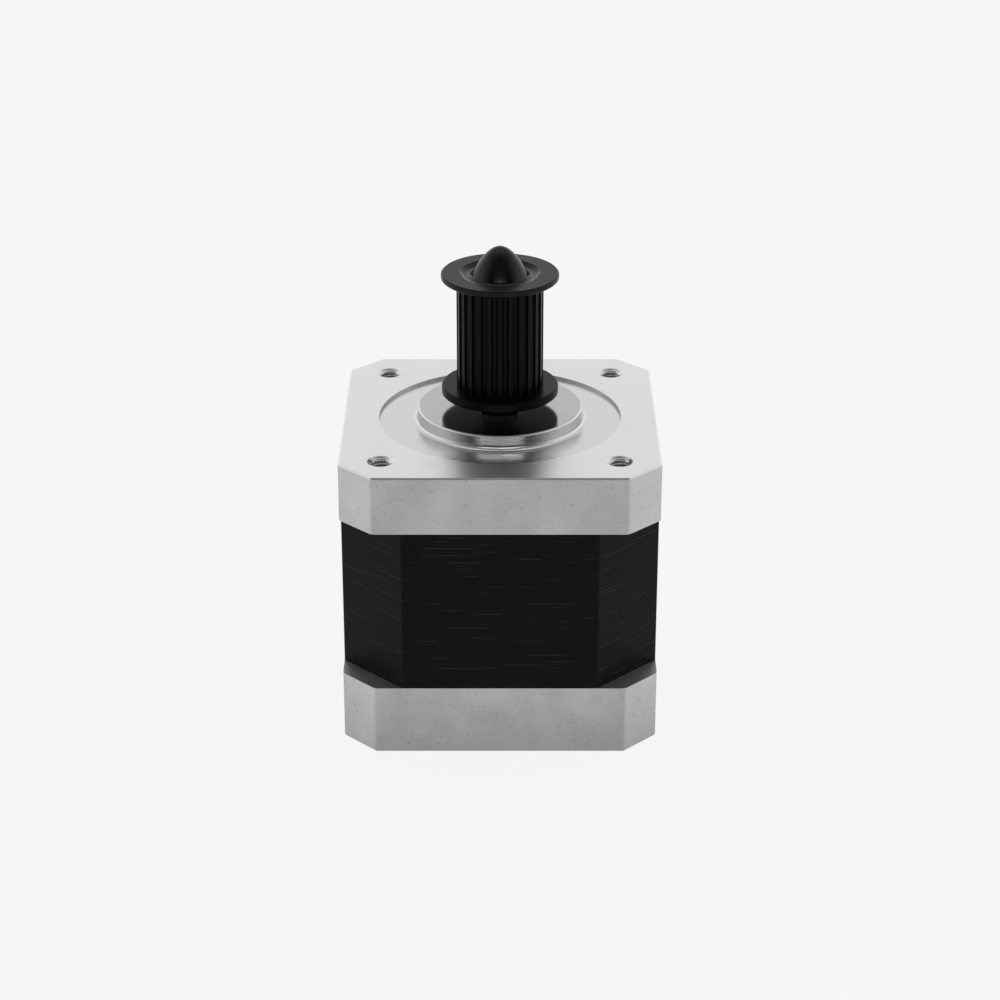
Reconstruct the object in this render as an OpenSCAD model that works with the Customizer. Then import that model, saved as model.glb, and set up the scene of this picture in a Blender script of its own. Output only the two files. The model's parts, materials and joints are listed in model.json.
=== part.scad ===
// Stepper motor of the 42 mm class with a toothed belt pulley pressed on its shaft.
// Origin on the shaft axis at the mounting face, +Z along the shaft towards the pulley,
// +Y towards the side that carries the connector. Millimetres.

/* [Motor body] */
// Width of the square body across its flats
body_w = 42; // [42:0.1:42.3]
// Length from the mounting face to the rear face
body_len = 40; // [38:0.5:48]
// Height of the front cover, from the mounting face to the lamination stack
front_cover_h = 7.9; // [7.8:0.1:8.6]
// Height of the rear cover
rear_cover_h = 9.6; // [9.6:0.1:11]
// Leg of the 45 degree corner chamfers of both covers
cover_chamfer = 4.4; // [4:0.1:5]
// Radius that rounds the chamfered corners of the covers
cover_corner_r = 1.2; // [0.6:0.1:1.6]
// Leg of the 45 degree corner chamfers of the lamination stack
stack_chamfer = 8.2; // [7.4:0.1:8.3]
// Leg of the broken edges of the mounting face and the rear face
edge_break = 0.2; // [0.1:0.05:0.4]

/* [Mounting face] */
// Diameter of the pilot boss
pilot_d = 22; // [20:0.5:22]
// Height of the pilot boss above the mounting face
pilot_h = 1.6; // [1.5:0.1:2]
// Radius of the concave fillet at the foot of the pilot boss
pilot_fillet = 0.7; // [0.3:0.1:0.9]
// Diameter of the turned recess around the pilot boss
recess_d = 32.6; // [30:0.1:34]
// Depth of the turned recess
recess_depth = 0.4; // [0.2:0.1:0.6]
// Diameter of the hole in the pilot boss that the shaft passes through
shaft_hole_d = 8; // [7:0.1:9]
// Spacing of the four tapped holes, the same in both directions
hole_spacing = 31; // [31:0.1:31.2]
// Minor diameter of the M3 tapped holes
tapped_d = 2.5; // [2.4:0.05:2.6]
// Depth of the tapped holes that is free for mounting screws
tapped_depth = 4.6; // [4:0.1:4.8]
// Diameter of the countersinks at the mouths of the tapped holes
countersink_d = 3.5; // [3:0.1:4]

/* [Shaft and bearings] */
// Diameter of the shaft in its bearings and in the pulley
shaft_d = 5; // [5:5]
// Height of the shaft's end above the mounting face
shaft_top = 20.6; // [19:0.1:20.7]
// Diameter of the thicker part of the shaft between the bearings
shaft_mid_d = 6.6; // [6:0.1:7.4]
// Outside diameter of both ball bearings
bearing_d = 16; // [16:16]
// Width of both ball bearings
bearing_w = 5; // [5:5]
// Number of balls in each bearing
ball_count = 7; // [6:1:7]
// Diameter of the balls
ball_d = 2.78; // [2.6:0.02:2.78]

/* [Rotor and stator] */
// Diameter of the stator bore
stator_bore_d = 26.3; // [26.2:0.1:26.6]
// Diameter of the toothed rotor cups
rotor_d = 25.9; // [25.5:0.1:25.9]
// Number of teeth on each rotor cup
rotor_teeth = 50; // [50:50]
// Thickness of the magnet disc between the cups
magnet_h = 2; // [1.5:0.1:3]
// Width of the stator poles
pole_w = 4.4; // [4:0.1:4.6]
// Thickness of the winding around each pole
winding_t = 2.25; // [1.6:0.05:2.3]

/* [Pulley] */
// Number of teeth of the pulley
tooth_count = 25; // [24:1:26]
// Pitch of the belt
belt_pitch = 1.5; // [1.5:1.5]
// Distance from the tooth tips to the pitch line
pitch_line_offset = 0.2; // [0.15:0.01:0.25]
// Diameter of both flanges
flange_d = 15.6; // [14:0.1:17]
// Thickness of the lower flange, which is one piece with the drum
lower_flange_t = 1.2; // [1:0.1:1.5]
// Thickness of the pressed upper flange ring
upper_flange_t = 0.8; // [0.5:0.1:1]
// Height of the lower flange's underside above the mounting face
pulley_z = 3.5; // [3:0.1:4]
// Height of the upper flange's top above the mounting face
pulley_top = 20.4; // [20:0.1:21]

/* [End cap] */
// Height of the dome above the upper flange
dome_h = 3.6; // [3.3:0.05:4.2]
// Radius of the dome where the dish begins to flare out of it
dome_r = 3.68; // [3.5:0.02:3.7]
// Depth of that place below the upper flange
dome_foot_depth = 0.15; // [0.05:0.05:0.25]
// Bluntness of the dome, 2 for a parabola, more for a blunter top
dome_power = 1.9; // [1.8:0.05:2.4]
// Depth of the dish below the upper flange
dish_depth = 0.5; // [0.3:0.05:0.55]
// Radius of the circle along which the dish is deepest
dish_r = 4.35; // [4.2:0.05:4.5]
// Radius of the cap's rim inside the flange ring
cap_rim_r = 5.4; // [5.3:0.05:5.5]

/* [Connector] */
// Number of pins
pin_count = 6; // [4:1:6]
// Spacing of the pins
pin_pitch = 2; // [2:2]
// Width of the connector housing
housing_w = 14.6; // [14.6:0.1:15]
// Height of the connector housing
housing_h = 4.7; // [4.5:0.05:4.7]
// How far the connector housing stands out of the body
housing_out = 1.6; // [0.5:0.1:3]

/* [Hidden] */
$fn = 96;

eps = 0.01;
past = 1;

// Levels along the shaft
half_w = body_w / 2;
rear_z = -body_len;
stack_top = -front_cover_h;
stack_bottom = rear_z + rear_cover_h;
stack_h = stack_top - stack_bottom;
stack_mid = (stack_top + stack_bottom) / 2;
hole_xy = hole_spacing / 2;
hole_places = [for (sx = [-1, 1], sy = [-1, 1]) [sx * hole_xy, sy * hole_xy]];

// Cavities of the covers
cavity_r = 19.4;
front_wall = 2.6;
rear_wall = 2;
bearing_housing_r = bearing_d / 2 + 1.6;
front_bearing_top = 0.2;
front_bearing_bottom = front_bearing_top - bearing_w;
washer_space = 0.6;
washer_floor = rear_z + 1.2;
rear_bearing_bottom = washer_floor + washer_space;
rear_bearing_top = rear_bearing_bottom + bearing_w;
shoulder_relief_r = 6.4;
shoulder_relief_top = 0.6;
pillar_r = 4.2;
pillar_top = rear_z + 6;

// Body screws, M3, entered from the rear
screw_r = 1.5;
screw_hole_r = 1.65;
screw_head_r = 2.75;
screw_head_h = 2.4;
counterbore_r = 3.1;
counterbore_top = rear_z + 3.3;
screw_gap = 0.3;
drive_slot_w = 0.7;
drive_slot_l = 3.2;
drive_slot_depth = 1.2;

// Bearing sections, measured from the bearing's own middle
pitch_r = (bearing_d + shaft_d) / 4;
groove_r = ball_d / 2 + 0.06;
inner_ring_r = 4.05;
outer_ring_r = 6.45;
shield_seat_r = 6.9;
shield_z = 2.05;
shield_t = 0.25;
shield_bore_r = 4.3;
cage_in_r = 4.65;
cage_out_r = 5.85;
cage_bottom = -1.9;
cage_top = 0.9;
cage_pocket_r = ball_d / 2 + 0.08;
front_bearing_mid = front_bearing_top - bearing_w / 2;
rear_bearing_mid = rear_bearing_top - bearing_w / 2;

// Stator section
pole_count = 8;
pole_step = 360 / pole_count;
shoe_back_r = 14.6;
window_r = 18.6;
slot_opening = 1.2;
stator_tooth_step = 7.2;
notch_w = 0.85;
notch_depth = 0.5;
notches_per_pole = 5;

// Insulators and coils
liner_t = 0.52;
liner_in = 14.7;
liner_out = 18.35;
plate_t = 0.8;
rim_h = 2.6;
inner_rim = [13.9, 14.9];
outer_rim = [18.7, 19.2];
coil_in = 15.1;
coil_out = 17.7;
coil_gap = 0.03;
coil_corner_r = 1.4;
coil_half_y = pole_w / 2 + liner_t + coil_gap + winding_t;
coil_half_z = stack_h / 2 + plate_t + winding_t - 0.25;
coil_hole_y = pole_w / 2 + liner_t + coil_gap;
coil_hole_z = stack_h / 2 + plate_t + coil_gap;

// Rotor
cup_gap = 0.5;
cup_h = (stack_h - magnet_h) / 2 - cup_gap;
cup_dish_r = 10.6;
cup_dish_depth = 2.2;
cup_hub_r = 5.4;
rotor_slot_w = 0.95;
rotor_slot_depth = 0.7;
magnet_r = 12.4;
shaft_end_z = washer_floor + 0.3;
shaft_chamfer = 0.4;

// Pulley
pitch_r_pulley = tooth_count * belt_pitch / (2 * PI);
drum_r = pitch_r_pulley - pitch_line_offset;
drum_z = pulley_z + lower_flange_t;
drum_top = pulley_top - upper_flange_t;
groove_cutter_r = 0.44;
groove_centre_in = 0.14;
tooth_step = 360 / tooth_count;
flange_edge = 0.15;
plug_r = 3.4;
plug_depth = 2.9;
plug_bore_r = 2.6;
plug_bore_top = 20.8;
dome_roof = 22.3;

// Points of the cap's section, as radius and height
dome_top = pulley_top + dome_h;
dome_foot = [dome_r, pulley_top - dome_foot_depth];
dish_bottom = [dish_r, pulley_top - dish_depth];
cap_rim = [cap_rim_r, pulley_top];
foot_slope = dome_r / (dome_power * (dome_h + dome_foot_depth));
flare_corner = [dome_r + foot_slope * (dome_foot.y - dish_bottom.y), dish_bottom.y];
rim_corner = [dish_r + (cap_rim_r - dish_r) * 0.6, dish_bottom.y];
dome_steps = 24;
dish_steps = 12;

// Connector
housing_mid_z = rear_z + rear_wall + housing_h / 2;
housing_back_y = 16;
housing_back_wall = 1.2;
housing_side_wall = 1;
housing_lid_wall = 0.65;
housing_ear = 0.9;
housing_ear_t = 1.4;
key_slot_x = 3.5;
key_slot_w = 1;
window_gap = 0.05;
pin_w = 0.5;
pin_back_y = 14.6;
pin_front_in = 1;
pin_leg_top = housing_mid_z + housing_h / 2 - 0.05;

// Corners of an octagon with its flats at the given half width and 45 degree legs
function octagon(half, leg) = [
    [half, leg - half], [half, half - leg], [half - leg, half], [leg - half, half],
    [-half, half - leg], [-half, leg - half], [leg - half, -half], [half - leg, -half]
];

module rounded_octagon(half, leg, r) {
    corners = octagon(half, leg);
    cut = r * tan(22.5);
    function along(i) = (corners[(i + 1) % 8] - corners[i]) / norm(corners[(i + 1) % 8] - corners[i]);
    polygon([for (i = [0:7]) each [corners[i] + along(i) * cut, corners[(i + 1) % 8] - along(i) * cut]]);
    for (i = [0:7])
        translate(corners[i] + along(i) * cut + [-along(i).y, along(i).x] * r) circle(r);
}

// Cutters that break the outline's edge at height z
module edge_cutters(z, leg) {
    diagonal = (body_w - leg) / sqrt(2);
    for (k = [0:7])
        rotate(45 * k)
            translate([k % 2 == 0 ? half_w : diagonal, 0, z])
                rotate([0, 45, 0])
                    cube([edge_break * sqrt(2), body_w, edge_break * sqrt(2)], center = true);
}

module at_holes() {
    for (p = hole_places) translate(p) children();
}

module around(count, radius, start = 0) {
    for (k = [0:count - 1]) rotate(start + k * 360 / count) translate([radius, 0]) children();
}

module tube(inner, outer, z0, z1) {
    rotate_extrude() translate([inner, z0]) square([outer - inner, z1 - z0]);
}

module pilot_section() {
    top_r = pilot_d / 2;
    foot = -recess_depth;
    polygon([
        [0, foot - past], [top_r, foot - past], [top_r, pilot_h - edge_break],
        [top_r - edge_break, pilot_h], [0, pilot_h]
    ]);
    difference() {
        translate([top_r - eps, foot - eps]) square(pilot_fillet + eps);
        translate([top_r + pilot_fillet, foot + pilot_fillet]) circle(pilot_fillet);
    }
}

module front_cover() {
    color("lightgray") difference() {
        union() {
            difference() {
                translate([0, 0, stack_top]) linear_extrude(front_cover_h)
                    rounded_octagon(half_w, cover_chamfer, cover_corner_r);
                translate([0, 0, -recess_depth]) cylinder(d = recess_d, h = past);
                edge_cutters(0, cover_chamfer);
            }
            rotate_extrude() pilot_section();
        }
        rotate_extrude() polygon([
            [0, stack_top - past], [cavity_r, stack_top - past], [cavity_r, -front_wall],
            [bearing_housing_r, -front_wall], [bearing_housing_r, front_bearing_bottom],
            [bearing_d / 2, front_bearing_bottom], [bearing_d / 2, front_bearing_top],
            [shoulder_relief_r, front_bearing_top], [shoulder_relief_r, shoulder_relief_top],
            [shaft_hole_d / 2, shoulder_relief_top], [shaft_hole_d / 2, pilot_h - edge_break],
            [shaft_hole_d / 2 + edge_break + past, pilot_h + past], [0, pilot_h + past]
        ]);
        at_holes() rotate_extrude() polygon([
            [0, past], [countersink_d / 2, past], [countersink_d / 2, 0],
            [tapped_d / 2, -(countersink_d - tapped_d) / 2], [tapped_d / 2, -tapped_depth],
            [screw_r, -tapped_depth], [screw_r, stack_top - past], [0, stack_top - past]
        ]);
    }
}

module rear_cavity_section() {
    difference() {
        circle(cavity_r);
        circle(bearing_housing_r);
        at_holes() circle(pillar_r);
    }
}

module rear_cover() {
    color("lightgray") difference() {
        translate([0, 0, rear_z]) linear_extrude(rear_cover_h)
            rounded_octagon(half_w, cover_chamfer, cover_corner_r);
        edge_cutters(rear_z, cover_chamfer);
        translate([0, 0, rear_bearing_top]) cylinder(r = cavity_r, h = rear_cover_h);
        tube(bearing_housing_r, cavity_r, pillar_top, rear_bearing_top + eps);
        translate([0, 0, rear_z + rear_wall]) linear_extrude(pillar_top - rear_z - rear_wall + eps)
            rear_cavity_section();
        translate([0, 0, washer_floor]) cylinder(d = bearing_d, h = rear_cover_h);
        at_holes() translate([0, 0, rear_z - past]) cylinder(r = screw_hole_r, h = rear_cover_h + 2 * past);
        at_holes() translate([0, 0, rear_z - past])
            cylinder(r = counterbore_r, h = counterbore_top - rear_z + past);
        translate([0, half_w, housing_mid_z])
            cube([housing_w + 2 * window_gap, 2 * (half_w - housing_back_y - housing_ear_t),
                housing_h + 2 * window_gap], center = true);
    }
}

module stator_section() {
    difference() {
        rounded_octagon(half_w, stack_chamfer, edge_break * 2);
        circle(d = stator_bore_d);
        difference() {
            circle(window_r);
            circle(shoe_back_r);
            around(pole_count, 0) translate([0, -pole_w / 2]) square([half_w, pole_w]);
        }
        around(pole_count, stator_bore_d / 2 - past, pole_step / 2)
            translate([0, -slot_opening / 2])
                square([shoe_back_r - stator_bore_d / 2 + past + eps, slot_opening]);
        around(pole_count, 0)
            for (n = [0:notches_per_pole - 1])
                rotate((n - (notches_per_pole - 1) / 2) * stator_tooth_step)
                    translate([stator_bore_d / 2 - past, -notch_w / 2]) square([past + notch_depth, notch_w]);
        at_holes() circle(screw_hole_r);
    }
}

module stator_laminations() {
    color("dimgray") translate([0, 0, stack_bottom]) linear_extrude(stack_h) stator_section();
}

// One insulator, with its end of the stack at z = 0 and its rims pointing up
module insulator() {
    liner_depth = stack_h / 2 - window_gap;
    tube(inner_rim[0], inner_rim[1], 0, rim_h);
    tube(outer_rim[0], outer_rim[1], 0, rim_h);
    around(pole_count, 0) {
        translate([inner_rim[0] + 0.5, -pole_w / 2 - liner_t, 0])
            cube([outer_rim[0] - inner_rim[0] - 0.3, pole_w + 2 * liner_t, plate_t]);
        for (side = [-1, 1])
            translate([liner_in, side * (pole_w + liner_t) / 2 - liner_t / 2, -liner_depth])
                cube([liner_out - liner_in, liner_t, liner_depth + eps]);
    }
}

module front_insulator() {
    color("ivory") translate([0, 0, stack_top]) insulator();
}

module rear_insulator() {
    color("ivory") translate([0, 0, stack_bottom]) mirror([0, 0, 1]) insulator();
}

module rounded_rectangle(w, h, r) {
    square([w - 2 * r, h], center = true);
    square([w, h - 2 * r], center = true);
    for (sx = [-1, 1], sy = [-1, 1]) translate([sx * (w / 2 - r), sy * (h / 2 - r)]) circle(r);
}

// One winding around the pole that points along +X
module coil() {
    translate([coil_in, 0, stack_mid]) rotate([90, 0, 90]) linear_extrude(coil_out - coil_in) difference() {
        rounded_rectangle(2 * coil_half_y, 2 * coil_half_z, coil_corner_r);
        square([2 * coil_hole_y, 2 * coil_hole_z], center = true);
    }
}

module phase_a_coils() {
    color("chocolate") around(pole_count / 2, 0) coil();
}

module phase_b_coils() {
    color("peru") around(pole_count / 2, 0, pole_step) coil();
}

module body_screw() {
    difference() {
        union() {
            translate([0, 0, counterbore_top - eps])
                cylinder(r = screw_r, h = -tapped_depth - screw_gap - counterbore_top + eps);
            translate([0, 0, counterbore_top - screw_head_h]) cylinder(r = screw_head_r, h = screw_head_h);
        }
        for (turn = [0, 90])
            rotate(turn) translate([0, 0, counterbore_top - screw_head_h])
                cube([drive_slot_l, drive_slot_w, 2 * drive_slot_depth], center = true);
    }
}

module body_screws() {
    color("silver") at_holes() body_screw();
}

// Spring washer with three waves that fills the space between the pocket floor and the bearing
module preload_wave_washer() {
    waves = 3;
    thickness = 0.25;
    steps = 72;
    radii = [6.7, 7.8];
    rise = (washer_space - thickness) / 2;
    function wave(k) = washer_floor + rise * (1 - cos(waves * 360 * k / steps));
    function corner(k, r, z) = [r * cos(360 * k / steps), r * sin(360 * k / steps), z];
    points = [for (k = [0:steps - 1]) each [
        corner(k, radii[0], wave(k)), corner(k, radii[1], wave(k)),
        corner(k, radii[1], wave(k) + thickness), corner(k, radii[0], wave(k) + thickness)
    ]];
    function vertex(k, c) = 4 * (k % steps) + c % 4;
    faces = [for (k = [0:steps - 1], c = [0:3]) each [
        [vertex(k, c), vertex(k, c + 1), vertex(k + 1, c + 1)],
        [vertex(k, c), vertex(k + 1, c + 1), vertex(k + 1, c)]
    ]];
    color("gainsboro") polyhedron(points, faces);
}

module outer_ring(mid) {
    color("silver") translate([0, 0, mid]) rotate_extrude() difference() {
        translate([outer_ring_r, -bearing_w / 2]) square([bearing_d / 2 - outer_ring_r, bearing_w]);
        translate([pitch_r, 0]) circle(groove_r);
        for (side = [-1, 1])
            translate([outer_ring_r - eps, side * (shield_z + past / 2) - past / 2])
                square([shield_seat_r - outer_ring_r + eps, past]);
    }
}

module inner_ring(mid) {
    color("silver") translate([0, 0, mid]) rotate_extrude() difference() {
        translate([shaft_d / 2, -bearing_w / 2]) square([inner_ring_r - shaft_d / 2, bearing_w]);
        translate([pitch_r, 0]) circle(groove_r);
    }
}

module ball_set(mid) {
    color("white") translate([0, 0, mid]) around(ball_count, pitch_r) sphere(d = ball_d);
}

module cage(mid) {
    color("tan") translate([0, 0, mid]) difference() {
        tube(cage_in_r, cage_out_r, cage_bottom, cage_top);
        around(ball_count, pitch_r) sphere(r = cage_pocket_r);
    }
}

module shields(mid) {
    color("gainsboro") translate([0, 0, mid])
        for (side = [0, 1])
            mirror([0, 0, side]) tube(shield_bore_r, shield_seat_r, shield_z, shield_z + shield_t);
}

module front_bearing_outer_ring() { outer_ring(front_bearing_mid); }
module front_bearing_inner_ring() { inner_ring(front_bearing_mid); }
module front_bearing_balls() { ball_set(front_bearing_mid); }
module front_bearing_cage() { cage(front_bearing_mid); }
module front_bearing_shields() { shields(front_bearing_mid); }
module rear_bearing_outer_ring() { outer_ring(rear_bearing_mid); }
module rear_bearing_inner_ring() { inner_ring(rear_bearing_mid); }
module rear_bearing_balls() { ball_set(rear_bearing_mid); }
module rear_bearing_cage() { cage(rear_bearing_mid); }
module rear_bearing_shields() { shields(rear_bearing_mid); }

module shaft() {
    end_r = shaft_d / 2;
    mid_r = shaft_mid_d / 2;
    color("silver") rotate_extrude() polygon([
        [0, shaft_end_z], [end_r - shaft_chamfer, shaft_end_z], [end_r, shaft_end_z + shaft_chamfer],
        [end_r, rear_bearing_top], [mid_r, rear_bearing_top], [mid_r, front_bearing_bottom],
        [end_r, front_bearing_bottom], [end_r, shaft_top - shaft_chamfer],
        [end_r - shaft_chamfer, shaft_top], [0, shaft_top]
    ]);
}

module rotor_section() {
    difference() {
        circle(d = rotor_d);
        circle(d = shaft_mid_d);
        around(rotor_teeth, rotor_d / 2 - rotor_slot_depth)
            translate([0, -rotor_slot_w / 2]) square([past + rotor_slot_depth, rotor_slot_w]);
    }
}

// One rotor cup, with its magnet side at z = 0 and its dished end pointing up
module rotor_cup() {
    difference() {
        linear_extrude(cup_h) rotor_section();
        tube(cup_hub_r, cup_dish_r, cup_h - cup_dish_depth, cup_h + past);
    }
}

module front_rotor_cup() {
    color("slategray") translate([0, 0, stack_mid + magnet_h / 2]) rotor_cup();
}

// Its teeth are half a tooth away from the front cup's
module rear_rotor_cup() {
    color("slategray") translate([0, 0, stack_mid - magnet_h / 2])
        rotate(180 / rotor_teeth) mirror([0, 0, 1]) rotor_cup();
}

module rotor_magnet() {
    color("darkslategray")
        tube(shaft_mid_d / 2, magnet_r, stack_mid - magnet_h / 2, stack_mid + magnet_h / 2);
}

// The section of a flange, with a broken edge at the top and bottom of its rim
module flange_section(inner, z0, z1) {
    rim = flange_d / 2;
    polygon([
        [inner, z0], [rim - flange_edge, z0], [rim, z0 + flange_edge],
        [rim, z1 - flange_edge], [rim - flange_edge, z1], [inner, z1]
    ]);
}

// A land points to the front, so that the first groove is half a step from it
module drum_section() {
    difference() {
        circle(drum_r);
        around(tooth_count, drum_r - groove_centre_in, tooth_step / 2 - 90) circle(groove_cutter_r, $fn = 48);
    }
}

module pulley_drum() {
    color("#1a1a1a") difference() {
        union() {
            rotate_extrude() flange_section(0, pulley_z, drum_z);
            translate([0, 0, drum_z]) linear_extrude(drum_top - drum_z) drum_section();
        }
        translate([0, 0, pulley_z - past]) cylinder(d = shaft_d, h = pulley_top);
        translate([0, 0, drum_top - plug_depth]) cylinder(r = plug_r, h = plug_depth + past);
    }
}

module pulley_upper_flange() {
    color("#3a3a3a") rotate_extrude() flange_section(cap_rim_r, drum_top, pulley_top);
}

function dome_point(t) = [dome_r * t, dome_top - (dome_h + dome_foot_depth) * pow(t, dome_power)];
// A curve from a to c that starts and ends along its lines to b
function bend(a, b, c, t) = (1 - t) * (1 - t) * a + 2 * t * (1 - t) * b + t * t * c;

module pulley_end_cap() {
    color("#101010") rotate_extrude() polygon(concat(
        [for (k = [0:dome_steps - 1]) dome_point(k / dome_steps)],
        [for (k = [0:dish_steps - 1]) bend(dome_foot, flare_corner, dish_bottom, k / dish_steps)],
        [for (k = [0:dish_steps]) bend(dish_bottom, rim_corner, cap_rim, k / dish_steps)],
        [
            [cap_rim_r, drum_top], [plug_r, drum_top], [plug_r, drum_top - plug_depth],
            [plug_bore_r, drum_top - plug_depth], [plug_bore_r, plug_bore_top],
            [plug_bore_r / 2, dome_roof], [0, dome_roof]
        ]
    ));
}

module connector_housing() {
    length = half_w + housing_out - housing_back_y;
    color("white") difference() {
        union() {
            translate([-housing_w / 2, housing_back_y, housing_mid_z - housing_h / 2])
                cube([housing_w, length, housing_h]);
            translate([-housing_w / 2 - housing_ear, housing_back_y, housing_mid_z - housing_h / 2])
                cube([housing_w + 2 * housing_ear, housing_ear_t, housing_h]);
        }
        translate([-housing_w / 2 + housing_side_wall, housing_back_y + housing_back_wall,
            housing_mid_z - housing_h / 2 + housing_lid_wall])
            cube([housing_w - 2 * housing_side_wall, length, housing_h - 2 * housing_lid_wall]);
        for (side = [-1, 1])
            translate([side * key_slot_x - key_slot_w / 2, half_w, housing_mid_z])
                cube([key_slot_w, length, housing_h]);
        at_pins() translate([0, housing_back_y, housing_mid_z])
            cube([pin_w, 3 * housing_back_wall, pin_w], center = true);
    }
}

module at_pins() {
    for (n = [0:pin_count - 1]) translate([(n - (pin_count - 1) / 2) * pin_pitch, 0, 0]) children();
}

module connector_pins() {
    pin_front_y = half_w + housing_out - pin_front_in;
    color("gold") at_pins() {
        translate([-pin_w / 2, pin_back_y, housing_mid_z - pin_w / 2])
            cube([pin_w, pin_front_y - pin_back_y, pin_w]);
        translate([-pin_w / 2, pin_back_y, housing_mid_z - pin_w / 2])
            cube([pin_w, pin_w, pin_leg_top - housing_mid_z + pin_w / 2]);
    }
}

front_cover();
rear_cover();
stator_laminations();
front_insulator();
rear_insulator();
phase_a_coils();
phase_b_coils();
body_screws();
preload_wave_washer();
front_bearing_outer_ring();
front_bearing_inner_ring();
front_bearing_balls();
front_bearing_cage();
front_bearing_shields();
rear_bearing_outer_ring();
rear_bearing_inner_ring();
rear_bearing_balls();
rear_bearing_cage();
rear_bearing_shields();
shaft();
front_rotor_cup();
rear_rotor_cup();
rotor_magnet();
pulley_drum();
pulley_upper_flange();
pulley_end_cap();
connector_housing();
connector_pins();
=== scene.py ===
"""Looks of a 42 mm stepper motor with a belt pulley: materials, thread turns, floor, light and camera."""

import json
import math

import bmesh
import bpy
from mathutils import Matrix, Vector


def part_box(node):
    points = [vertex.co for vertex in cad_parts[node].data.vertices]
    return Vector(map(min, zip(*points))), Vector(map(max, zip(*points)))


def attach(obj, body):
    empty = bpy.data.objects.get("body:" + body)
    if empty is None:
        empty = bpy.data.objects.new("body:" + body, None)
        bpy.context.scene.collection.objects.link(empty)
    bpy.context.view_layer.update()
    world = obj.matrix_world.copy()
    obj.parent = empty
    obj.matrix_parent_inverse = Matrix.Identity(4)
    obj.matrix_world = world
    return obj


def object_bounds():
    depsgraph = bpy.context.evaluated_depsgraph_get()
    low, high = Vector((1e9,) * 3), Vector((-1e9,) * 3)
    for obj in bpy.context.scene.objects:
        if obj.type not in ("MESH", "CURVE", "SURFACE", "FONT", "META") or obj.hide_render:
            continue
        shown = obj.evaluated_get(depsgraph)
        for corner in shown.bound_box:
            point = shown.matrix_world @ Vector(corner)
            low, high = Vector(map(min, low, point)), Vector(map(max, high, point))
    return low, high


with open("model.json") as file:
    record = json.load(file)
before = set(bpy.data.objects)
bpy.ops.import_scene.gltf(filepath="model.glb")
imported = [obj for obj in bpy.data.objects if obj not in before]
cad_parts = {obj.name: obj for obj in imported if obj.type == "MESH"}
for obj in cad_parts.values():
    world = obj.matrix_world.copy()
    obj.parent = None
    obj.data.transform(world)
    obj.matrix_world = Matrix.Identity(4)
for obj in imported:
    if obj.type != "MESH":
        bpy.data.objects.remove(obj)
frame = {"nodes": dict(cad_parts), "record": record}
cad_low, cad_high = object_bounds()

MM = 0.001

# Heights that the material regions and the camera follow, read from the frame
BOSS_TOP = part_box("front_cover")[1].z
STACK_LOW, STACK_HIGH = (corner.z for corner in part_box("stator_laminations"))
FLANGE_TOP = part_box("pulley_upper_flange")[1].z

# Sizes of the CAD model's features that no box gives
RECESS_FLOOR = -0.4 * MM
RECESS_R = 16.3 * MM
HOLE_SPACING = 31 * MM
TAPPED_R = 1.25 * MM
COUNTERSINK_R = 1.75 * MM

# The real stack's sheets, and the M3 thread's turns
SHEET_T = 0.5 * MM
THREAD_PITCH = 0.5 * MM
THREAD_RIDGE = 0.27 * MM
THREAD_TOP = -0.3 * MM
THREAD_LENGTH = 4 * MM
THREAD_STEPS = 40

# How far beyond the wall of its hole a thread's foot lies, so that no gap shows
THREAD_ROOT = 0.01 * MM

FLOOR_HALF = 3.0
FLOOR_GAP = 0.02 * MM
WHITE = (1, 1, 1, 1)

CAMERA_DISTANCE = 0.3568
CAMERA_ELEVATION = math.radians(24.43)
CAMERA_LENS = 93.85

# The camera aims this share of the stack's height below the stack's top
CAMERA_AIM_SHARE = 0.206

SQUARE = ((-1, -1), (1, -1), (1, 1), (-1, 1))


def grey(value, blue=0.0):
    """A grey, a trace bluer where metal or plastic is cold."""
    return value, value, value + blue


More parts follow.
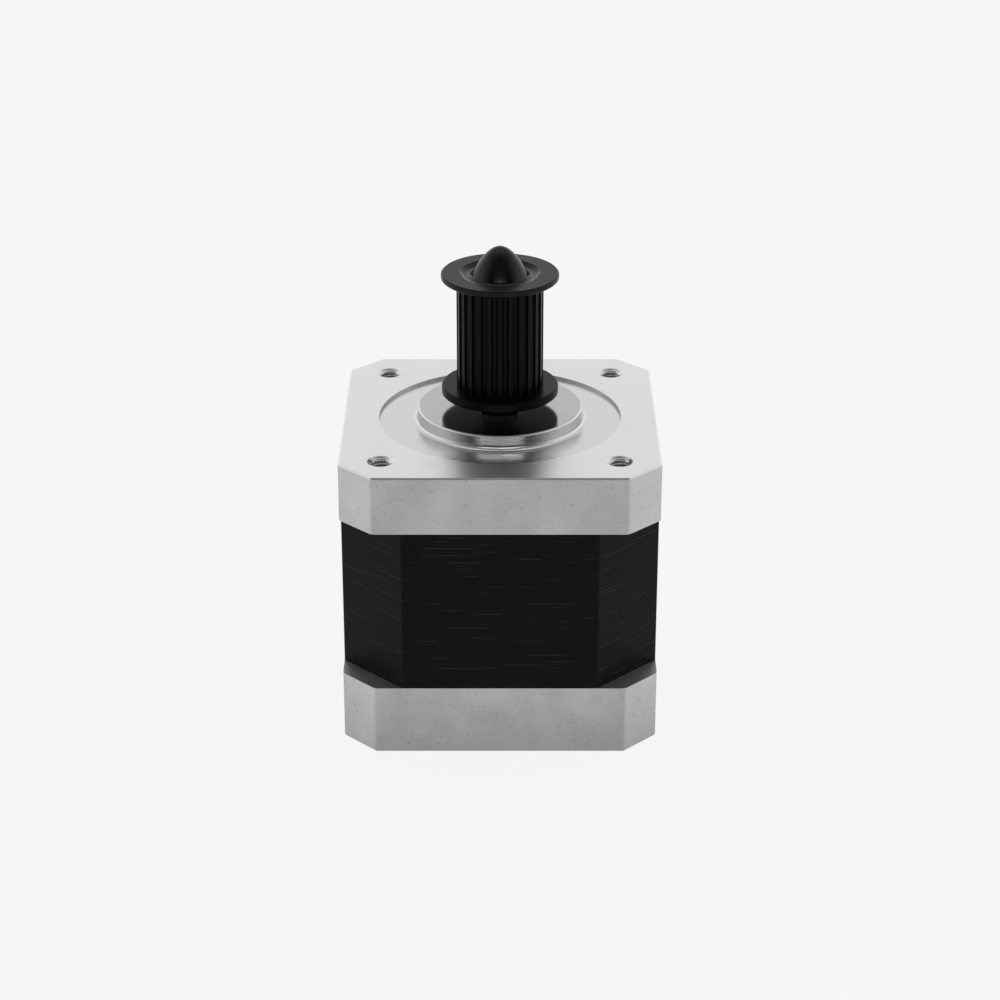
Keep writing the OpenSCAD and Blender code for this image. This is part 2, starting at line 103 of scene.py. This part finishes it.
class Graph:
    """Short names for the nodes that the materials and the studio's light share."""

    def __init__(self, tree):
        self.nodes = tree.nodes
        self.links = tree.links
        self.coordinates = self.nodes.new("ShaderNodeTexCoord").outputs
        self.place = self.coordinates["Object"]

    def put(self, value, socket):
        """A socket is linked, anything else becomes the socket's own value."""
        if isinstance(value, bpy.types.NodeSocket):
            self.links.new(value, socket)
        else:
            socket.default_value = value

    def math(self, operation, a, b=0.0, clamp=False):
        node = self.nodes.new("ShaderNodeMath")
        node.operation = operation
        node.use_clamp = clamp
        self.put(a, node.inputs[0])
        self.put(b, node.inputs[1])
        return node.outputs[0]

    def add(self, a, b):
        return self.math("ADD", a, b)

    def subtract(self, a, b, clamp=False):
        return self.math("SUBTRACT", a, b, clamp)

    def multiply(self, a, b):
        return self.math("MULTIPLY", a, b)

    def larger(self, a, b):
        return self.math("MAXIMUM", a, b)

    def absolute(self, value):
        return self.math("ABSOLUTE", value)

    def split(self, vector):
        node = self.nodes.new("ShaderNodeSeparateXYZ")
        self.put(vector, node.inputs[0])
        return node.outputs

    def join(self, x, y, z):
        node = self.nodes.new("ShaderNodeCombineXYZ")
        for value, socket in zip((x, y, z), node.inputs):
            self.put(value, socket)
        return node.outputs[0]

    def step(self, value, low, high):
        """0 below low, 1 above high, a straight ramp between."""
        node = self.nodes.new("ShaderNodeMapRange")
        self.put(value, node.inputs["Value"])
        node.inputs["From Min"].default_value = low
        node.inputs["From Max"].default_value = high
        return node.outputs["Result"]

    def span(self, value, low, high):
        """Takes a value from 0 to 1 to the range from low to high."""
        node = self.nodes.new("ShaderNodeMapRange")
        self.put(value, node.inputs["Value"])
        node.inputs["To Min"].default_value = low
        node.inputs["To Max"].default_value = high
        return node.outputs["Result"]

    def noise(self, size, detail=4.0, roughness=0.55, vector=None, stretch=(1, 1, 1)):
        """Noise whose grains are about size metres, drawn out along an axis by stretch."""
        mapping = self.nodes.new("ShaderNodeMapping")
        self.put(vector or self.place, mapping.inputs["Vector"])
        mapping.inputs["Scale"].default_value = [1 / (size * s) for s in stretch]
        node = self.nodes.new("ShaderNodeTexNoise")
        self.links.new(mapping.outputs[0], node.inputs["Vector"])
        node.inputs["Scale"].default_value = 1
        node.inputs["Detail"].default_value = detail
        node.inputs["Roughness"].default_value = roughness
        return node.outputs["Fac"]

    def mix(self, factor, a, b):
        """Between two numbers, sockets or not."""
        node = self.nodes.new("ShaderNodeMix")
        self.put(factor, node.inputs["Factor"])
        self.put(a, node.inputs["A"])
        self.put(b, node.inputs["B"])
        return node.outputs["Result"]

    def colours(self, factor, a, b):
        """Between two colours, each a socket or three numbers."""
        node = self.nodes.new("ShaderNodeMix")
        node.data_type = "RGBA"
        sockets = [s for s in node.inputs if s.type == "RGBA"]
        self.put(factor, node.inputs["Factor"])
        for colour, socket in zip((a, b), sockets):
            self.put(colour if isinstance(colour, bpy.types.NodeSocket) else (*colour, 1), socket)
        return next(s for s in node.outputs if s.type == "RGBA")

    def radius(self):
        """Distance from the shaft axis."""
        x, y, _ = self.split(self.place)
        return self.math("SQRT", self.add(self.multiply(x, x), self.multiply(y, y)))

    def around(self):
        """Angle about the shaft axis, in radians."""
        x, y, _ = self.split(self.place)
        return self.math("ARCTAN2", y, x)

    def height(self):
        return self.split(self.place)[2]

    def lines(self, value, pitch):
        """A sine from 0 to 1 that repeats every pitch."""
        wave = self.math("SINE", self.multiply(value, 2 * math.pi / pitch))
        return self.multiply(self.add(wave, 1.0), 0.5)

    def turned(self, pitch):
        """Fine rings cut by a lathe tool, each slightly uneven along its way round."""
        radius = self.radius()
        along_ring = self.join(self.multiply(radius, 4 / pitch), self.around(), 0.0)
        drift = self.noise(1.0, detail=2.0, vector=along_ring)
        return self.mix(0.55, self.lines(radius, pitch), drift)


class Shader(Graph):
    """A Principled material: constants go on its sockets, and textures are linked to them."""

    def __init__(self, name, base, roughness, metallic=0.0, **constants):
        self.material = bpy.data.materials.new(name)
        self.material.use_nodes = True
        super().__init__(self.material.node_tree)
        self.surface = self.nodes["Principled BSDF"]
        self.surface.inputs["Base Color"].default_value = (*base, 1)
        self.surface.inputs["Roughness"].default_value = roughness
        self.surface.inputs["Metallic"].default_value = metallic
        for socket, value in constants.items():
            self.surface.inputs[socket.replace("_", " ")].default_value = value

    def colour(self, socket):
        self.links.new(socket, self.surface.inputs["Base Color"])

    def rough(self, socket):
        self.links.new(socket, self.surface.inputs["Roughness"])

    def bump(self, height, depth, strength):
        """Height from 0 to 1 stands for depth metres."""
        node = self.nodes.new("ShaderNodeBump")
        node.inputs["Strength"].default_value = strength
        node.inputs["Distance"].default_value = depth
        self.put(height, node.inputs["Height"])
        self.links.new(node.outputs["Normal"], self.surface.inputs["Normal"])


def cast_aluminium():
    """Die-cast walls with a fine blasted grain, a machined face, a turned recess and a lapped boss."""
    s = Shader("cast_aluminium", grey(0.5, 0.005), 0.4, metallic=1.0)
    radius, height = s.radius(), s.height()
    across, along, up = s.split(s.coordinates["Normal"])

    # Masks of the machined regions, each 1 on its own and 0 elsewhere
    above_recess = s.step(height, RECESS_FLOOR - 0.3 * MM, RECESS_FLOOR - 0.1 * MM)
    top = s.multiply(s.step(up, 0.5, 0.6), above_recess)
    boss = s.multiply(top, s.step(height, BOSS_TOP - 0.1 * MM, BOSS_TOP - 0.05 * MM))
    recess = s.subtract(top, s.step(height, RECESS_FLOOR + 0.1 * MM, RECESS_FLOOR + 0.3 * MM), clamp=True)
    inside = s.subtract(1.0, s.step(radius, RECESS_R - 0.1 * MM, RECESS_R))
    turned_part = s.multiply(inside, above_recess)
    # Mask of the faces turned diagonally, the corner chamfers, used for painted light
    painted_chamfer_light = s.step(s.absolute(s.multiply(across, along)), 0.3, 0.45)
    rings = s.turned(0.16 * MM)

    # The cast skin: clouded grey with pale specks and scratches, dark pits, and painted shade that
    # darkens it towards the foot
    grain = s.noise(0.16 * MM, detail=5.0, roughness=0.7)
    lumps = s.noise(1.6 * MM, detail=3.0, roughness=0.6)
    cloud = s.noise(6 * MM, detail=5.0, roughness=0.6)
    specks = s.step(s.noise(0.35 * MM, detail=2.0, roughness=0.5), 0.68, 0.73)
    x, y, z = s.split(s.place)
    pits = s.step(s.noise(0.5 * MM, detail=2.0, roughness=0.5, vector=s.join(z, x, y)), 0.67, 0.72)
    scratches = s.step(s.noise(0.1 * MM, detail=2.0, roughness=0.5, stretch=(22, 22, 1)), 0.68, 0.73)
    marks = s.larger(specks, scratches)
    pale, dark = grey(0.8), grey(0.15)
    cast = s.colours(s.step(cloud, 0.3, 0.7), grey(0.4, 0.003), grey(0.5, 0.003))
    # Painted light: the chamfers are drawn paler, standing in for the brighter light they catch
    cast = s.colours(s.multiply(painted_chamfer_light, 0.27), cast, pale)
    cast = s.colours(s.multiply(marks, 0.35), cast, pale)
    cast = s.colours(s.multiply(pits, 0.45), cast, dark)
    # Painted shade: the colour darkens towards the bottom of the motor, standing in for the shade near
    # the floor seen in the lower walls
    foot = s.step(height, cad_low.z, cad_low.z + 10 * MM)
    cast = s.colours(s.span(foot, 0.75, 1.0), grey(0.0), cast)

    face = s.colours(s.noise(9 * MM, detail=2.0), grey(0.8, 0.005), grey(0.86, 0.005))
    groove = s.colours(rings, grey(0.62, 0.005), grey(0.78, 0.005))
    lap_marks = s.noise(1.2 * MM, detail=3.0, stretch=(4, 1, 1))
    lapped = s.colours(lap_marks, grey(0.44, 0.003), grey(0.51, 0.003))
    metal = s.colours(boss, s.colours(recess, face, groove), lapped)
    s.colour(s.colours(top, cast, metal))

    face_rough = s.span(s.noise(3 * MM, detail=3.0), 0.3, 0.38)
    boss_rough = s.span(s.noise(0.8 * MM, detail=3.0, stretch=(6, 1, 1)), 0.08, 0.16)
    machined_rough = s.mix(boss, s.mix(recess, face_rough, s.span(rings, 0.14, 0.28)), boss_rough)
    wall_rough = s.mix(turned_part, s.span(grain, 0.4, 0.55), 0.22)
    s.rough(s.mix(top, wall_rough, machined_rough))

    skin = s.add(s.multiply(grain, 0.5), s.multiply(lumps, 0.5))
    skin = s.subtract(skin, s.multiply(s.larger(marks, pits), 0.6))
    cut = s.mix(s.multiply(recess, 0.15), 0.5, rings)
    s.bump(s.mix(s.larger(top, turned_part), skin, cut), 0.05 * MM, 0.6)
    return s.material


def black_laminations():
    """Blackened steel sheets seen edge on, with fine dark lines between them, and broken bright lines on
    some joints: a painted highlight, also raised in the bump.
    """
    s = Shader("black_laminations", (0.004, 0.004, 0.005), 0.4, Specular_IOR_Level=0.05)
    x, y, z = s.split(s.place)
    sheet = s.math("DIVIDE", s.subtract(z, STACK_LOW), SHEET_T)
    from_middle = s.absolute(s.subtract(s.math("FRACT", sheet), 0.5))
    joint = s.step(from_middle, 0.36, 0.48)
    number = s.math("FLOOR", s.add(sheet, 0.5))
    glint_dash_length = 11 * MM
    along_joint = s.join(s.multiply(x, 1 / glint_dash_length), s.multiply(y, 1 / glint_dash_length), number)
    broken = s.step(s.noise(1.0, detail=3.0, roughness=0.6, vector=along_joint), 0.55, 0.62)
    burr_and_painted_glint = s.multiply(joint, broken)
    cloud = s.noise(4 * MM, detail=4.0, roughness=0.6)
    body = s.colours(cloud, grey(0.0035, 0.0005), grey(0.0065, 0.0005))
    # Painted highlight: the broken lines along some joints are drawn bright, standing in for glints off
    # the sheet edges
    s.colour(s.colours(burr_and_painted_glint, body, grey(0.032, 0.001)))
    s.rough(s.span(s.noise(0.7 * MM, detail=4.0, roughness=0.65), 0.3, 0.45))
    lift = s.subtract(s.multiply(burr_and_painted_glint, 1.6), joint)
    grain = s.multiply(s.noise(0.12 * MM, detail=3.0), 0.35)
    s.bump(s.add(lift, grain), 0.03 * MM, 0.6)
    return s.material


def pulley_black():
    """Black coated drum: satin, with faint marks drawn along the teeth."""
    s = Shader("pulley_black", grey(0.002), 0.3, Specular_IOR_Level=0.08)
    strokes = s.noise(0.12 * MM, detail=4.0, roughness=0.6, stretch=(1, 1, 30))
    s.colour(s.colours(s.noise(2.5 * MM, detail=3.0), grey(0.001), grey(0.0035)))
    s.rough(s.span(strokes, 0.22, 0.38))
    s.bump(strokes, 0.01 * MM, 0.3)
    return s.material


def flange_black():
    """Pressed steel ring, blackened, with the faint rings of a turned edge."""
    s = Shader("flange_black", grey(0.01), 0.3, Specular_IOR_Level=0.1)
    rings = s.turned(0.12 * MM)
    s.colour(s.colours(s.noise(1.6 * MM, detail=3.0), grey(0.006), grey(0.012)))
    s.rough(s.span(rings, 0.24, 0.34))
    s.bump(rings, 0.008 * MM, 0.25)
    return s.material


def cap_black():
    """Moulded cap with a faint orange peel, glossy in the dish and rubbed to a satin on the crown."""
    s = Shader("cap_black", grey(0.002), 0.1, Specular_IOR_Level=0.25)
    crown = s.step(s.height(), FLANGE_TOP, FLANGE_TOP + 2 * MM)
    s.colour(s.colours(s.noise(1.2 * MM, detail=2.0), grey(0.001), grey(0.004)))
    gloss = s.span(s.noise(0.8 * MM, detail=3.0), 0.08, 0.15)
    satin = s.span(s.noise(0.3 * MM, detail=3.0), 0.24, 0.3)
    s.rough(s.mix(crown, gloss, satin))
    s.bump(s.noise(0.5 * MM, detail=2.0), 0.01 * MM, 0.12)
    return s.material


def steel(name, base, smooth, rough, along=(1, 1, 1)):
    """Ground or rolled steel with hairlines drawn along the given direction."""
    s = Shader(name, base, smooth, metallic=1.0)
    hair = s.noise(0.06 * MM, detail=3.0, roughness=0.6, stretch=along)
    shade = tuple(0.82 * c for c in base)
    s.colour(s.colours(s.noise(1.5 * MM, detail=3.0), shade, base))
    s.rough(s.span(hair, smooth, rough))
    s.bump(hair, 0.004 * MM, 0.2)
    return s.material


def moulded(name, base, smooth, rough):
    """Moulded plastic with a fine spark-eroded texture and slight shade changes."""
    s = Shader(name, base, smooth, Specular_IOR_Level=0.45)
    grain = s.noise(0.1 * MM, detail=3.0, roughness=0.6)
    shade = tuple(0.88 * c for c in base)
    s.colour(s.colours(s.noise(2 * MM, detail=3.0), shade, base))
    s.rough(s.span(grain, smooth, rough))
    s.bump(grain, 0.01 * MM, 0.25)
    return s.material


def copper_winding():
    """Enamelled wire laid side by side: ridges across the winding, amber varnish over copper, and painted
    shade in the grooves between the turns.
    """
    s = Shader(
        "copper_winding", (0.55, 0.2, 0.07), 0.3, metallic=0.85, Coat_Weight=0.4, Coat_Roughness=0.15
    )
    wander = s.multiply(s.noise(4 * MM), 0.05 * MM)
    wire = s.lines(s.add(s.radius(), wander), 0.3 * MM)
    # Painted shade: the colour darkens in the grooves between the turns, where the bump dips
    s.colour(s.colours(wire, (0.3, 0.09, 0.03), (0.62, 0.24, 0.09)))
    s.rough(s.span(s.noise(0.4 * MM), 0.25, 0.4))
    s.bump(wire, 0.08 * MM, 0.8)
    return s.material


def sintered_magnet():
    """Sintered grains under a dull plating."""
    s = Shader("magnet", grey(0.2, 0.01), 0.4, metallic=0.7)
    grain = s.noise(0.2 * MM, detail=4.0, roughness=0.7)
    s.colour(s.colours(grain, grey(0.12, 0.01), grey(0.24, 0.01)))
    s.rough(s.span(grain, 0.35, 0.55))
    s.bump(grain, 0.01 * MM, 0.3)
    return s.material


# One finish for each of the record's material slots
LOOKS = {
    "cast_aluminium": cast_aluminium(),
    "black_laminations": black_laminations(),
    "nylon": moulded("nylon", (0.72, 0.69, 0.6), 0.45, 0.6),
    "copper_winding": copper_winding(),
    "zinc_steel": steel("zinc_steel", grey(0.62, 0.01), 0.25, 0.4),
    "spring_steel": steel("spring_steel", grey(0.5, 0.02), 0.22, 0.38, (6, 1, 1)),
    "bearing_steel": steel("bearing_steel", grey(0.58, 0.02), 0.12, 0.22),
    "polished_ball": steel("polished_ball", grey(0.72, 0.02), 0.04, 0.08),
    "cage_nylon": moulded("cage_nylon", (0.5, 0.42, 0.28), 0.5, 0.65),
    "ground_shaft": steel("ground_shaft", grey(0.3, 0.01), 0.14, 0.26, (8, 8, 1)),
    "rotor_steel": steel("rotor_steel", (0.3, 0.31, 0.33), 0.3, 0.5, (1, 1, 12)),
    "magnet": sintered_magnet(),
    "pulley_black": pulley_black(),
    "flange_black": flange_black(),
    "cap_black": cap_black(),
    "connector_nylon": moulded("connector_nylon", (0.78, 0.76, 0.7), 0.4, 0.55),
    "pin_metal": steel("pin_metal", (0.75, 0.73, 0.68), 0.2, 0.32, (1, 8, 1)),
}


def dress(obj, slot):
    """Gives an object the finish of one of the record's material slots, and no other."""
    obj.data.materials.clear()
    obj.data.materials.append(LOOKS[slot])


def dress_cad_nodes():
    for part in frame["record"]["subparts"]:
        dress(frame["nodes"][part["node"]], part["material_slot"])


def place_object(name, data):
    obj = bpy.data.objects.new(name, data)
    bpy.context.scene.collection.objects.link(obj)
    return obj


def place_mesh(name, bm):
    """An object with the mesh that has been built in bm, which is freed."""
    mesh = bpy.data.meshes.new(name)
    bm.to_mesh(mesh)
    bm.free()
    return place_object(name, mesh)


def tapped_thread(name, centre):
    """A helical ridge inside a tapped hole and its countersink, with sharp crests towards the axis."""
    bm = bmesh.new()
    turns = THREAD_LENGTH / THREAD_PITCH
    wall_r = TAPPED_R + THREAD_ROOT
    foot_half = 0.4 * THREAD_PITCH
    previous = None
    for k in range(int(turns * THREAD_STEPS) + 1):
        turn = k / THREAD_STEPS
        angle = 2 * math.pi * turn
        z = THREAD_TOP - THREAD_PITCH * turn
        fade = max(0.0, min(1.0, 2 * turn, turns - turn))
        ring = []
        for inwards, dz in ((0.0, foot_half), (THREAD_RIDGE * fade, 0.0), (0.0, -foot_half)):
            r = max(wall_r, COUNTERSINK_R + z + dz) - inwards
            ring.append(bm.verts.new((
                centre.x + r * math.cos(angle), centre.y + r * math.sin(angle), z + dz
            )))
        if previous:
            for a in range(2):
                bm.faces.new((previous[a], ring[a], ring[a + 1], previous[a + 1]))
        previous = ring
    bm.normal_update()
    obj = place_mesh(name, bm)
    for polygon in obj.data.polygons:
        polygon.use_smooth = True
    dress(obj, "cast_aluminium")
    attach(obj, "stator")


def hole_threads():
    """The thread turns that show in the mouths of the four tapped holes."""
    for number, corner in enumerate(SQUARE):
        tapped_thread(f"tapped_thread_{number + 1}", Vector(corner) * HOLE_SPACING / 2)


def pale_floor():
    """A wide pale sheet under the motor, lit evenly."""
    bm = bmesh.new()
    bm.faces.new([bm.verts.new((sx * FLOOR_HALF, sy * FLOOR_HALF, 0)) for sx, sy in SQUARE])
    floor = place_mesh("floor", bm)
    floor.location.z = cad_low.z - FLOOR_GAP
    s = Shader("floor_paper", grey(0.06), 0.9, Specular_IOR_Level=0.0)
    s.surface.inputs["Emission Color"].default_value = WHITE
    s.surface.inputs["Emission Strength"].default_value = 0.885
    s.colour(s.colours(s.noise(20 * MM, detail=2.0), grey(0.058), grey(0.062)))
    floor.data.materials.append(s.material)


def softbox(name, offset, size, power):
    """A rectangular light that stands off from the middle of the motor and faces it."""
    data = bpy.data.lights.new(name, "AREA")
    data.shape = "RECTANGLE"
    data.size, data.size_y = size
    data.energy = power
    light = place_object(name, data)
    light.location = (cad_low + cad_high) / 2 + Vector(offset)
    light.rotation_euler = (-Vector(offset)).to_track_quat("-Z", "Y").to_euler()


def studio():
    """Bright walls behind and beside, a dark front with a long low softbox, and a softbox overhead."""
    world = bpy.data.worlds.new("studio")
    bpy.context.scene.world = world
    world.use_nodes = True
    g = Graph(world.node_tree)
    background = g.nodes["Background"]
    background.inputs["Color"].default_value = WHITE
    x, y, z = g.split(g.coordinates["Generated"])

    # The room darkens towards the direction 30 degrees above straight in front
    towards_dark = g.add(g.multiply(y, -0.87), g.multiply(z, 0.5))
    dark = g.step(towards_dark, 0.3, 0.8)
    walls = g.mix(g.step(z, 0.25, 0.75), 1.0, 0.6)
    sides = g.multiply(g.math("POWER", g.absolute(x), 3.0), 0.15)
    strength = g.mix(dark, g.add(walls, sides), 0.07)
    g.links.new(strength, background.inputs["Strength"])
    softbox("softbox_top", (0, 0.1, 0.6), (0.5, 0.4), 0.28)
    softbox("softbox_front", (0, -0.75, 0.5), (0.9, 0.08), 1.5)
    bpy.context.scene.view_settings.view_transform = "Standard"


def camera():
    """Looks down on the motor from the front, through a long lens."""
    data = bpy.data.cameras.new("camera")
    data.lens = CAMERA_LENS
    data.sensor_width = 36
    data.clip_start, data.clip_end = 0.01, 20
    cam = place_object("camera", data)
    aim = Vector((0, 0, STACK_HIGH - CAMERA_AIM_SHARE * (STACK_HIGH - STACK_LOW)))
    back = Vector((0, -math.cos(CAMERA_ELEVATION), math.sin(CAMERA_ELEVATION)))
    cam.location = aim + back * CAMERA_DISTANCE
    cam.rotation_euler = (-back).to_track_quat("-Z", "Y").to_euler()
    bpy.context.scene.camera = cam


dress_cad_nodes()
hole_threads()
pale_floor()
studio()
camera()
